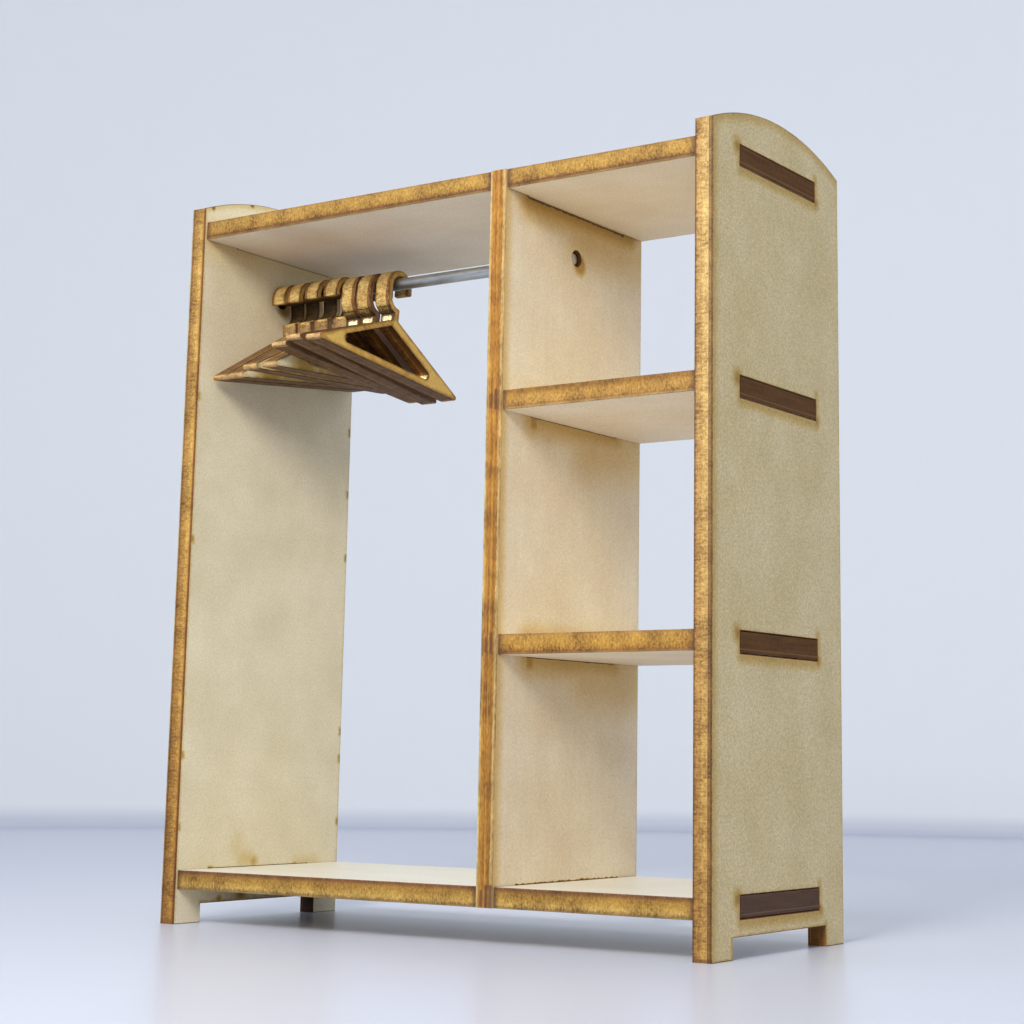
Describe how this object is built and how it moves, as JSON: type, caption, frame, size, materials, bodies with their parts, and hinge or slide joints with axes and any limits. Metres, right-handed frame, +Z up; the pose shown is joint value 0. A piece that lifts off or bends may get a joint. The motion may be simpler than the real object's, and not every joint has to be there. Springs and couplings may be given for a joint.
{
  "type": "dollhouse wardrobe",
  "caption": "Doll-scale open wardrobe of slotted laser-cut plywood with a hanging bay, shelves, a metal rail and plywood clothes hangers.",
  "frame": {"origin": "on the floor, under the middle of the carcass", "axes": "+Z up; +X to the right seen from the front, from the hanging bay to the shelves; the front faces -Y"},
  "size_m": [0.1028, 0.0403, 0.123],
  "materials": {
    "panel_plywood": "bare laser-cut plywood with browned edges",
    "hanger_plywood": "bare laser-cut plywood, browned by the laser",
    "rail_metal": "bright drawn rod"
  },
  "bodies": {
    "carcass": {"left_side_panel": "panel_plywood", "right_side_panel": "panel_plywood", "divider": "panel_plywood", "top_panel": "panel_plywood", "bottom_panel": "panel_plywood", "upper_shelf": "panel_plywood", "lower_shelf": "panel_plywood", "hanging_rail": "rail_metal"},
    "hanger_1": {"hanger_1": "hanger_plywood"},
    "hanger_2": {"hanger_2": "hanger_plywood"},
    "hanger_3": {"hanger_3": "hanger_plywood"},
    "hanger_4": {"hanger_4": "hanger_plywood"},
    "hanger_5": {"hanger_5": "hanger_plywood"},
    "hanger_6": {"hanger_6": "hanger_plywood"},
    "hanger_7": {"hanger_7": "hanger_plywood"}
  },
  "joints": [
    {"name": "hanger_1_swing", "type": "hinge", "parent": "carcass", "child": "hanger_1", "pos_m": [-0.04621, 0, 0.1065], "axis": [1, 0, 0], "range_deg": [-63, 52]},
    {"name": "hanger_2_swing", "type": "hinge", "parent": "carcass", "child": "hanger_2", "pos_m": [-0.0427, 0, 0.1065], "axis": [1, 0, 0], "range_deg": [-63, 52]},
    {"name": "hanger_3_swing", "type": "hinge", "parent": "carcass", "child": "hanger_3", "pos_m": [-0.03859, 0, 0.1065], "axis": [1, 0, 0], "range_deg": [-60, 56]},
    {"name": "hanger_4_swing", "type": "hinge", "parent": "carcass", "child": "hanger_4", "pos_m": [-0.0343, 0, 0.1065], "axis": [1, 0, 0], "range_deg": [-60, 56]},
    {"name": "hanger_5_swing", "type": "hinge", "parent": "carcass", "child": "hanger_5", "pos_m": [-0.03091, 0, 0.1065], "axis": [1, 0, 0], "range_deg": [-52, 64]},
    {"name": "hanger_6_swing", "type": "hinge", "parent": "carcass", "child": "hanger_6", "pos_m": [-0.0274, 0, 0.1065], "axis": [1, 0, 0], "range_deg": [-50, 66]},
    {"name": "hanger_7_slide", "type": "slide", "parent": "carcass", "child": "hanger_7", "axis": [1, 0, 0], "range_m": [-0.0008, 0.033]}
  ]
}
